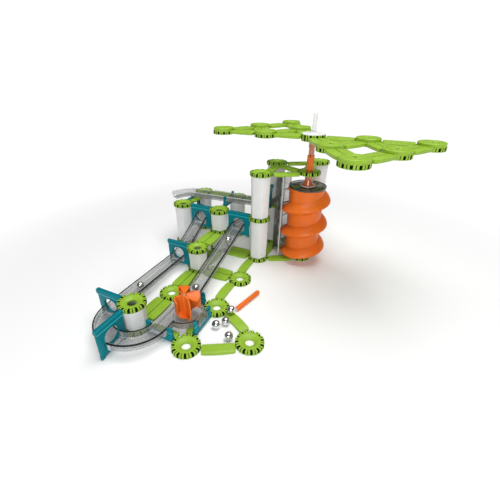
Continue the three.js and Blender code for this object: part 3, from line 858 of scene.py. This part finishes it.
# ---- Junction tray ----
tray_low, tray_high = low_of("junction_tray"), high_of("junction_tray")
lane_x = at(-0.5, 0).x
WHEEL_FROM_CORNER = 28.5 * MM
wheel_spot = at(0, 0.5) - Vector((WHEEL_FROM_CORNER, 0, 0))
on_wheel = moved(wheel_spot.x, wheel_spot.y)
BASIN_R = 25.2 * MM
TRAY_OUTLET = 3.5 * MM


def tray_walls(half, basin):
    """Centre lines of the tray's three walls, half a channel wide and basin round the wheel."""
    near, far = tray_low.y, tray_high.y
    exit_x = tray_high.x - TRAY_OUTLET
    inner_x = lane_x + half
    meet = math.acos((inner_x - wheel_spot.x) / basin)
    gate = math.asin(half / basin)
    arcs = 18
    turn = [meet + (gate - meet) * k / arcs for k in range(arcs + 1)]
    rear = [Vector((inner_x, far, 0))]
    rear += [wheel_spot + polar(basin, a, 0) for a in turn]
    rear.append(Vector((exit_x, wheel_spot.y + half, 0)))
    front = [Vector((p.x, 2 * wheel_spot.y - p.y, 0)) for p in rear]
    front[0].y = near
    left = [Vector((lane_x - half, near, 0)), Vector((lane_x - half, far, 0))]
    return left, front, rear


def follow(points):
    """A sweep path through points at the tray's underside, mitred at each of them."""
    path = []
    for i, point in enumerate(points):
        before = points[max(i - 1, 0)]
        after = points[min(i + 1, len(points) - 1)]
        path.append((Vector((point.x, point.y, tray_low.z)), heading(before, after)))
    return path


def tray_outline():
    left, front, rear = tray_walls(RAIL_HALF, BASIN_R + RAIL_WALL)
    return [p.to_2d() for p in [left[1], left[0]] + front + rear[::-1]]


def wall_section(side):
    return on_side(
        side, (0, 0), (1.8, 0.2), (1.8, 9.2), (2.9, 9.5), (3.0, 10.7), (2.6, 11.0), (0.3, 11.0),
        (0, 10.7),
    )


def wall_rim(side):
    return on_side(side, (1.9, 11.0), (2.7, 10.95), (3.05, 10.5), (2.6, 11.35), (1.95, 11.35))


left_wall, front_wall, rear_wall = tray_walls(RAIL_HALF - RAIL_WALL, BASIN_R)
in_tray = on_wheel @ moved(z=tray_low.z)
tray_parts = [(slab(tray_outline(), 2 * MM, 0.25 * MM), moved(z=tray_low.z), 0)]
# Material 1 on the wall rims is a line of painted shade.
for points, side in ((left_wall, 1), (front_wall, -1), (rear_wall, 1)):
    tray_parts.append((sweep(wall_section(side), follow(points)), Matrix(), 0))
    tray_parts.append((sweep(wall_rim(side), follow(points)), Matrix(), 1))
floor_ring = tube(mm((20.5, 2), (21.6, 2), (21.4, 2.5), (20.7, 2.5)))
wheel_pin = turned(mm((2, 1), (2, 38.5), (1.4, 39.3)), 24)
# The floor ring and the pin are in painted highlight.
tray_parts += [(floor_ring, in_tray, 2), (wheel_pin, in_tray, 2)]
piece("junction_tray_moulding", tray_parts, [CLEAR, EDGE_PAINTED_SHADE, CLEAR_PAINTED_HIGHLIGHT], "frame",
      ["junction_tray"])

# ---- Paddle wheel ----
# Heights are from the wheel's underside.
WHEEL_R = 23.6 * MM
WHEEL_H = high_of("paddle_wheel").z - low_of("paddle_wheel").z
WHEEL_SKIN = 1.8 * MM
HUB_R = 3.5 * MM
wheel_place = on_wheel @ moved(z=low_of("paddle_wheel").z)


def slope(a, b):
    """A height that runs evenly from a to b."""
    return lambda t: a + (b - a) * t


def tapering(t):
    """The upper edge of the front fin: level at the hub, then curving down to the rim."""
    return 7 * MM + (WHEEL_H - 7 * MM) * (1 - t ** 2.2)


def sector(inner, outer, first, last, low_at, high_at, steps=12):
    """Part of a ring from angle first to last (degrees), its heights given along the way."""
    loops = []
    for k in range(steps + 1):
        t = k / steps
        angle = math.radians(first + (last - first) * t)
        low, high = low_at(t), high_at(t)
        section = [(inner, low), (outer, low), (outer, high), (inner, high)]
        loops.append([polar(r, angle, z) for r, z in section])
    return loft(loops)


def fin(angle, reach, low_at, high_at, bow=3 * MM, thickness=2.2 * MM):
    """The upright panel of one arm, bowed sideways, with its lower and upper edges as given."""
    loops = []
    steps = 16
    root = 3.4 * MM
    soft = 0.5 * MM
    for k in range(steps + 1):
        t = k / steps
        r = root + (reach - root) * t
        shift = bow * math.sin(math.pi * t)
        half = thickness / 2 * (1 - 0.2 * t)
        low, high = low_at(t), high_at(t)
        section = [
            (-half, low), (half, low), (half, high - soft),
            (half - soft, high), (soft - half, high), (-half, high - soft),
        ]
        loops.append([Vector((r, shift + y, z)) for y, z in section])
    mesh = loft(loops)
    mesh.transform(moved(angle=math.radians(angle)))
    return mesh


def cup(angle, span, roof_low, wall_low):
    """An arm with a sloping roof and an outer wall on its clockwise side."""
    top = WHEEL_H - 0.6 * MM
    first = angle - span
    upper = slope(roof_low + WHEEL_SKIN, top)
    lower = slope(roof_low, top - WHEEL_SKIN)
    wall_foot = slope(wall_low + 5 * MM, wall_low)
    return [
        fin(angle, WHEEL_R, slope(1 * MM, 9 * MM), slope(WHEEL_H, top - 1 * MM)),
        sector(HUB_R, WHEEL_R, first, angle, lower, upper),
        sector(WHEEL_R - WHEEL_SKIN, WHEEL_R, first, angle, wall_foot, upper),
    ]


FRONT_CUP = 232
front_top = WHEEL_H - 2 * MM
wheel_hub = mm((2.3, 0), (4.2, 0), (4.6, 0.6))
wheel_hub += [(4.3 * MM, front_top), (3.6 * MM, WHEEL_H), (2.3 * MM, WHEEL_H)]
wheel_parts = [
    fin(-38, WHEEL_R, slope(0, 0.5 * MM), tapering),
    *cup(52, 52, WHEEL_H - 7 * MM, 15 * MM),
    *cup(142, 40, WHEEL_H - 4 * MM, 13 * MM),
    fin(FRONT_CUP, 15 * MM, slope(3 * MM, 7 * MM), slope(WHEEL_H, front_top), -2 * MM),
    sector(13.4 * MM, 15 * MM, FRONT_CUP, FRONT_CUP + 30, slope(7 * MM, 9 * MM),
           slope(front_top, WHEEL_H - 8 * MM)),
    sector(HUB_R, 14 * MM, FRONT_CUP, FRONT_CUP + 90, slope(7 * MM, 2 * MM),
           slope(9 * MM, 4 * MM)),
    tube(wheel_hub, 32),
]
piece("paddle_wheel_moulding", [(part, wheel_place, 0) for part in wheel_parts], [ORANGE],
      "paddle", ["paddle_wheel"])

# ---- Lift screw ----
shaft_spot = SPOTS["shaft"]
on_shaft = moved(shaft_spot.x, shaft_spot.y)
screw_low, screw_high = low_of("lift_screw").z, high_of("lift_screw").z
CORE_R = 31 * MM
FLIGHT_R = 43.8 * MM
LEAD = 46 * MM
FLIGHT_WIDTH = 0.55 * LEAD
FLIGHT_START = 23.5 * MM
END_TAPER = 8 * MM
# The crest of the flight lies this far below its middle, so that its upper side is longer.
CREST_DROP = 2.5 * MM
UPPER_CURVE = 1.7
LOWER_CURVE = 0.95
# The core narrows by this much towards its foot, over the same height.
FOOT_NARROWING = 9 * MM


def screw_loops():
    length = screw_high - screw_low
    rows, columns = 240, 144
    loops = []
    for i in range(rows + 1):
        height = length * i / rows
        ends = min(1, height / END_TAPER, (length - height) / END_TAPER)
        foot_share = max(0, 1 - height / FOOT_NARROWING)
        core = CORE_R - FOOT_NARROWING * foot_share ** 1.6
        loop = []
        for k in range(columns):
            angle = 2 * math.pi * k / columns
            wrapped = math.atan2(math.sin(angle), math.cos(angle))
            turns = (height - FLIGHT_START) / LEAD - wrapped / (2 * math.pi)
            away = (turns - round(turns)) * LEAD + CREST_DROP
            above = away > 0
            reach = FLIGHT_WIDTH / 2 + (CREST_DROP if above else -CREST_DROP)
            share = min(1, abs(away) / reach)
            swell = 1 - share ** (UPPER_CURVE if above else LOWER_CURVE)
            radius = core + (FLIGHT_R - CORE_R) * swell * ends
            loop.append(polar(radius, angle, screw_low + height))
        loops.append(loop)
    return loops


def lift_piece(name, mesh, z, material, node):
    """A piece that turns with the screw, its mesh raised to height z on the shaft's axis."""
    piece(name, [(mesh, on_shaft @ moved(z=z), 0)], [material], "lift", [node])


screw_foot = turned(mm((12, 6.4), (14, 6.8), (14, 8.6), (9, 9.2)))
lift_piece("screw_skin", loft(screw_loops()), 0, ORANGE, "lift_screw")
lift_piece("screw_foot_pad", screw_foot, 0, WHITE, "lift_screw")

# ---- Cap, shaft and sleeve ----
cap_low = screw_high + GAP
on_cap = on_shaft @ moved(z=cap_low)
NECK_Z = 2.6 * MM
cap_disc = tube(mm((4, 0), (32.6, 0), (33, 0.5), (33, 3.4), (31.8, 3.4), (31.4, 1.6), (4, 1.6)), 96)
cap_parts = [(cap_disc, on_cap, 0)]
for k in range(6):
    outline = block_outline(12 * MM, 31 * MM, -0.6 * MM, 0.6 * MM, 0.3 * MM)
    rib = slab(outline, 1.4 * MM, 0.2 * MM)
    cap_parts.append((rib, on_cap @ moved(z=1.4 * MM, angle=k * math.pi / 3), 0))
piece("screw_cap_disc", cap_parts, [SMOKE], "lift", ["screw_cap"])
# The cap's dark rim line is painted shade.
cap_rim = tube(mm((32.2, 3.2), (33.2, 3.2), (33.2, 3.9), (32.4, 3.9)), 96)
lift_piece("screw_cap_rim", cap_rim, cap_low, EDGE_PAINTED_SHADE, "screw_cap")
neck_z = cap_low + NECK_Z
neck_top = TOWER_TOP + RING_T + 1 * MM - neck_z
neck = mm((13, 0), (13, 1), (9.5, 3), (8.2, 7), (6.6, 11))
neck += [(6 * MM, TOWER_TOP - 2 * MM - neck_z), (6 * MM, neck_top - 0.4 * MM)]
neck += [(5.6 * MM, neck_top)]
lift_piece("screw_cap_neck", turned(neck, 48), neck_z, AMBER, "screw_cap")
# The neck ring is in painted highlight.
neck_ring = tube(mm((12.6, 0.8), (14.2, 0.8), (14.2, 2.2), (12.8, 2.4)), 48)
lift_piece("screw_cap_neck_ring", neck_ring, neck_z, CLEAR_PAINTED_HIGHLIGHT, "screw_cap")

sleeve_low, sleeve_high = low_of("shaft_sleeve").z, high_of("shaft_sleeve").z
sleeve = turned([
    (5.7 * MM, sleeve_low), (6.4 * MM, sleeve_low + 0.6 * MM),
    (6.4 * MM, sleeve_high - 0.8 * MM), (5.6 * MM, sleeve_high),
], 48, 1)
sleeve_parts = [(sleeve, on_shaft, 0)]
# Dark diamonds, material 1, where the sleeve has notches: painted shade.
for k in range(3):
    notch = slab(rounded(circle(1 * MM, 4), 0.2 * MM, 2), 4 * MM, 0.2 * MM)
    around_sleeve = moved(angle=2 * math.pi * k / 3 + 0.5)
    notch_place = on_shaft @ around_sleeve @ moved(x=5.3 * MM, z=sleeve_high - 3.6 * MM)
    sleeve_parts.append((notch, notch_place, 1))
piece("shaft_sleeve_moulding", sleeve_parts, [ORANGE, ORANGE_PAINTED_SHADE], "lift", ["shaft_sleeve"])

shaft_low, shaft_high = low_of("drive_shaft").z, high_of("drive_shaft").z
SHAFT_R = 3.6 * MM
FLUTES = 6
FLUTE_DEPTH = 0.35 * MM


def fluted(radius, z, count=72):
    loop = []
    for k in range(count):
        angle = 2 * math.pi * k / count
        flute = FLUTE_DEPTH * max(0, math.cos(FLUTES * angle)) ** 4
        loop.append(polar(radius - flute, angle, z))
    return loop


shaft_rows = [
    (SHAFT_R - 0.5 * MM, shaft_low), (SHAFT_R, shaft_low + 0.5 * MM),
    (SHAFT_R, shaft_high - 0.7 * MM), (SHAFT_R - 0.7 * MM, shaft_high),
]
shaft_mesh = loft([fluted(r, z) for r, z in shaft_rows])
# The shaft rod is in painted highlight.
lift_piece("drive_shaft_rod", shaft_mesh, 0, CLEAR_PAINTED_HIGHLIGHT, "drive_shaft")
rotor_low = low_of("rotor").z
socket_z = sleeve_high + 0.1 * MM
socket = turned(mm((5, 0), (5, 12), (6.2, 15)) + [(6.2 * MM, rotor_low - 0.2 * MM - socket_z)], 48)
lift_piece("shaft_socket", socket, socket_z, AMBER, "shaft_sleeve")

# ---- Rotor ----
DISC_RIM = 6.5 * MM
DISC_T = 11.5 * MM
ROTOR_TURN = math.radians(-1.3)


def disc_cap():
    """The cover on a rotor disc; heights are from the disc's upper face."""
    profile = mm(
        (2.4, -6), (19, -6), (19, -0.8), (18.2, 0), (9, 0), (8.4, -0.5), (4.2, -0.5), (3.8, 0),
        (2.4, -0.3),
    )
    return tube(profile, 72)


on_disc = moved(z=DISC_T)
disc_parts = [(notched_ring(RING_BORE, RING_R, DISC_RIM), Matrix(), None), (disc_cap(), on_disc, 0)]
# A dark pin down in the cover's bore: painted shade in the hole.
disc_parts.append((turned(mm((2.6, -3), (2.6, -0.8), (1.8, -0.5)), 32), on_disc, 1))
for k in range(NOTCHES):
    outline = block_outline(12.5 * MM, 17 * MM, -0.45 * MM, 0.45 * MM, 0.3 * MM)
    mark = slab(outline, 0.5 * MM, 0.1 * MM)
    disc_parts.append((mark, on_disc @ moved(z=-0.15 * MM, angle=k * math.pi / 6), 0))
ROTOR_DISC = moulding("rotor disc", disc_parts, [LIME, LIME_PAINTED_SHADE])
HUB_RING = ring_mesh("hub ring", SHAFT_R + 1.5 * MM, RING_R, DISC_T - 1 * MM)
show("rotor_hub", HUB_RING, "lift", ["rotor"], on_shaft @ moved(z=rotor_low))
hub_cover = tube(mm(
    (3.7, -0.9), (19.4, -0.9), (19.4, 0), (18.8, 0.5), (7, 0.5), (6, 2.6), (3.7, 2.6),
), 72)
lift_piece("rotor_hub_cover", hub_cover, rotor_low + DISC_T, WHITE, "rotor")


def spoke(length, degrees):
    return shaft_spot + polar(length, math.radians(degrees) + ROTOR_TURN, 0)


bar_z = rotor_low + (DISC_T - RING_T) / 2
for side, turn in (("near", 0), ("far", 180)):
    places = {
        "hub": shaft_spot,
        "inner_a": spoke(PITCH, turn),
        "outer_a": spoke(2 * PITCH, turn),
        "inner_b": spoke(PITCH, turn - 60),
        "outer_b": spoke(2 * PITCH, turn - 60),
    }
    places["tip"] = places["inner_a"] + places["inner_b"] - shaft_spot
    for name in ("inner_a", "outer_a", "inner_b", "outer_b", "tip"):
        matrix = moved(places[name].x, places[name].y, rotor_low, ROTOR_TURN)
        show(f"rotor_{side}_{name}_disc", ROTOR_DISC, "lift", ["rotor"], matrix)
    for start, end in (
        ("hub", "inner_a"), ("inner_a", "outer_a"), ("hub", "inner_b"), ("inner_b", "outer_b"),
        ("inner_a", "inner_b"), ("inner_a", "tip"), ("tip", "outer_a"), ("tip", "outer_b"),
    ):
        name = f"rotor_{side}_bar_{start}_{end}"
        add_bars(name, places[start], places[end], bar_z, PAIR, "lift", "rotor")

# ---- Ball guide ----
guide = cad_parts["ball_guide"]
guide.data.materials.clear()
guide.data.materials.append(SMOKE)
guide_low, guide_high = low_of("ball_guide"), high_of("ball_guide")
guide_height = guide_high.z - guide_low.z
# Half the guide's width: the ball, its play and the wall.
GUIDE_HALF = BALL_R + 1.2 * MM + 1.8 * MM
WING_R = FLIGHT_R + 1.6 * MM
WING_T = 1.4 * MM
MOUTH_ANGLE = 11.5
TIP_ANGLE = 33
BAND_STEP = 27 * MM
beside_screw = on_shaft @ moved(z=guide_low.z)


def wing(first, last, inner, outer, low, high):
    """An upright strip that follows the screw's round side, its angles from the guide."""
    return sector(WING_R + inner, WING_R + outer, 180 + first, 180 + last,
                  slope(low, low), slope(high, high))


beads, wings, edges = [], [], []
for way in (-1, 1):
    mouth, tip = way * MOUTH_ANGLE, way * TIP_ANGLE
    # Thin near-white tubes down the guide's mouth: painted highlights.
    bead = turned([(0.9 * MM, guide_low.z), (0.9 * MM, guide_high.z)], 16)
    bead_y = shaft_spot.y + way * (GUIDE_HALF + 0.4 * MM)
    beads.append((bead, moved(guide_high.x - 0.2 * MM, bead_y), 0))
    wings.append((wing(mouth, tip, 0, WING_T, 0, guide_height), beside_screw, 0))
    # The wing's end edge is a near-white strip of painted highlight.
    edge = wing(tip, tip + way * 2, -0.2 * MM, WING_T + 0.4 * MM, 0, guide_height)
    edges.append((edge, beside_screw, 0))
    # The bands, material 1, are dark lines of painted shade.
    for k in range(6):
        z = 14 * MM + k * BAND_STEP
        band = wing(mouth, tip, WING_T, WING_T + 0.7 * MM, z, z + 2.2 * MM)
        edges.append((band, beside_screw, 1))
piece("guide_highlight_beads", beads, [CLEAR_PAINTED_HIGHLIGHT], "frame", [])
piece("guide_wings", wings, [CLEAR], "frame", [])
piece("guide_wing_highlight_edges_and_shade_bands", edges, [CLEAR_PAINTED_HIGHLIGHT, EDGE_PAINTED_SHADE], "frame", [])

# ---- Magnet wand and balls ----
WAND_ANGLE = math.radians(75.5)
WAND_LENGTH = 58 * MM
grip = turned(mm(
    (0.4, 0), (2.9, 0), (3.1, 0.5), (3.3, 2.2), (3.8, 2.6), (3.8, 10), (3.5, 10.4), (3.5, 11.6),
    (3.8, 12), (3.8, 50), (3.5, 50.4), (3.5, 51.4), (3.8, 51.8), (3.8, 56.6), (3.2, 57.7),
    (2.2, 58),
), 48)
magnet = turned(mm((2.3, -0.05), (2.5, 0.1), (2.5, 1)), 32)
lying = Matrix.Rotation(WAND_ANGLE, 4, "Z") @ Matrix.Rotation(math.pi / 2, 4, "Y")
wand_place = Matrix.Translation(centre_of("magnet_wand")) @ lying @ moved(z=-WAND_LENGTH / 2)
piece("magnet_wand_grip", [(grip, wand_place, 0)], [ORANGE], "wand", ["magnet_wand"])
piece("magnet_wand_magnet", [(magnet, wand_place, 0)], [STEEL], "wand", ["magnet_wand"])


def ball_mesh():
    builder = bmesh.new()
    bmesh.ops.create_icosphere(builder, subdivisions=5, radius=BALL_R)
    mesh = bpy.data.meshes.new("ball")
    builder.to_mesh(mesh)
    builder.free()
    mesh.materials.append(STEEL)
    mesh.polygons.foreach_set("use_smooth", [True] * len(mesh.polygons))
    return mesh


BALL = ball_mesh()
LOOSE_BALLS = (
    "floor_ball_1", "floor_ball_2", "floor_ball_3", "left_lane_ball", "right_lane_ball_1",
    "right_lane_ball_2",
)
for node in (*LOOSE_BALLS, "wand_ball"):
    body = f"moving_{node}" if node in LOOSE_BALLS else "wand"
    place = Matrix.Translation(centre_of(node))
    show(f"{node}_steel", BALL, body, [node], place)

# ---- Floor, background and light ----
# The floor turns into plain white between these distances from the middle of the object.
FADE_START = 0.30
FADE_END = 0.75
WHITE_STRENGTH = 1.05
WORLD_LIGHT = 0.16
FLOOR_HALF = 20
corner_signs = ((-1, -1), (1, -1), (1, 1), (-1, 1))
floor_corners = [(x * FLOOR_HALF, y * FLOOR_HALF, 0) for x, y in corner_signs]
floor_mesh = mesh_of(floor_corners, [(0, 1, 2, 3)])
floor = bpy.data.objects.new("floor", floor_mesh)
floor.location.z = -0.05 * MM
floor_material, floor_tree, floor_shader = principled("pale floor")
floor_shader.inputs["Base Color"].default_value = (0.95, 0.95, 0.95, 1)
floor_shader.inputs["Roughness"].default_value = 0.7
floor_shader.inputs["Specular IOR Level"].default_value = 0.2
far = floor_tree.nodes.new("ShaderNodeVectorMath")
far.operation = "LENGTH"
floor_tree.links.new(floor_tree.nodes.new("ShaderNodeTexCoord").outputs["Object"], far.inputs[0])
fade = floor_tree.nodes.new("ShaderNodeMapRange")
fade.interpolation_type = "SMOOTHSTEP"
fade.inputs["From Min"].default_value = FADE_START
fade.inputs["From Max"].default_value = FADE_END
floor_tree.links.new(far.outputs["Value"], fade.inputs["Value"])
glow = floor_tree.nodes.new("ShaderNodeEmission")
glow.inputs["Color"].default_value = (1, 1, 1, 1)
glow.inputs["Strength"].default_value = WHITE_STRENGTH
blend = floor_tree.nodes.new("ShaderNodeMixShader")
floor_tree.links.new(fade.outputs["Result"], blend.inputs["Fac"])
floor_tree.links.new(floor_shader.outputs["BSDF"], blend.inputs[1])
floor_tree.links.new(glow.outputs["Emission"], blend.inputs[2])
floor_tree.links.new(blend.outputs["Shader"], floor_tree.nodes["Material Output"].inputs["Surface"])
floor_mesh.materials.append(floor_material)
bpy.context.scene.collection.objects.link(floor)

world = bpy.data.worlds.new("studio")
world.use_nodes = True
bpy.context.scene.world = world
background = world.node_tree.nodes["Background"]
light_path = world.node_tree.nodes.new("ShaderNodeLightPath")
strength = world.node_tree.nodes.new("ShaderNodeMapRange")
strength.inputs["To Min"].default_value = WORLD_LIGHT
strength.inputs["To Max"].default_value = WHITE_STRENGTH
world.node_tree.links.new(light_path.outputs["Is Camera Ray"], strength.inputs["Value"])
world.node_tree.links.new(strength.outputs["Result"], background.inputs["Strength"])
background.inputs["Color"].default_value = (1, 1, 1, 1)


def area_light(name, place, target, size, power):
    data = bpy.data.lights.new(name, "AREA")
    data.shape = "RECTANGLE"
    data.size, data.size_y = size
    data.energy = power
    lamp = bpy.data.objects.new(name, data)
    lamp.location = place
    lamp.rotation_mode = "QUATERNION"
    lamp.rotation_quaternion = (Vector(target) - Vector(place)).to_track_quat("-Z", "Y")
    bpy.context.scene.collection.objects.link(lamp)


area_light("overhead", (0.1, 0.1, 1.3), (0, 0, 0), (1.0, 1.0), 16)
area_light("front", (0.5, -1.4, 0.7), (0, 0, 0.1), (0.7, 0.7), 11.5)
